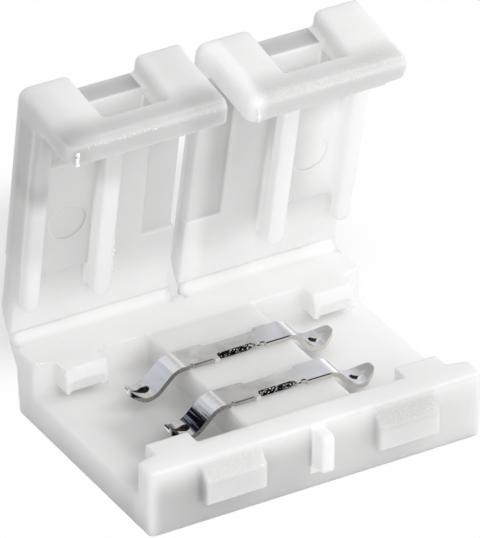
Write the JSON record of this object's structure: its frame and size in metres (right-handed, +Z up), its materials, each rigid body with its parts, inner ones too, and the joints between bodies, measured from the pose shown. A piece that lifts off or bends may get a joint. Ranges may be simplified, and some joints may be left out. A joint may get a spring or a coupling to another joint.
{
  "type": "led strip connector",
  "caption": "Solderless joint for a flat led strip: a low tray with sprung contacts, closed by hinged snap-down lids, shown open.",
  "frame": {"origin": "centre of the tray's flat underside", "axes": "+X along the led strip, to the right in the picture; +Y towards the hinge side; +Z up"},
  "size_m": [0.0156, 0.0133, 0.0155],
  "materials": {
    "tray": "white moulded plastic, slightly translucent",
    "lids": "white moulded plastic, slightly translucent",
    "contacts": "bright plated sheet with bare cut edges"
  },
  "bodies": {
    "base": {"tray": "tray", "contact_rear": "contacts", "contact_front": "contacts"},
    "left_lid": {"lid_left": "lids"},
    "right_lid": {"lid_right": "lids"}
  },
  "joints": [
    {"name": "left_hinge", "type": "hinge", "parent": "base", "child": "left_lid", "pos_m": [-0.004, 0.00583, 0.00285], "axis": [1, 0, 0], "range_deg": [-5, 70]},
    {"name": "right_hinge", "type": "hinge", "parent": "base", "child": "right_lid", "pos_m": [0.004, 0.00583, 0.00285], "axis": [1, 0, 0], "range_deg": [-5, 68.5]}
  ]
}
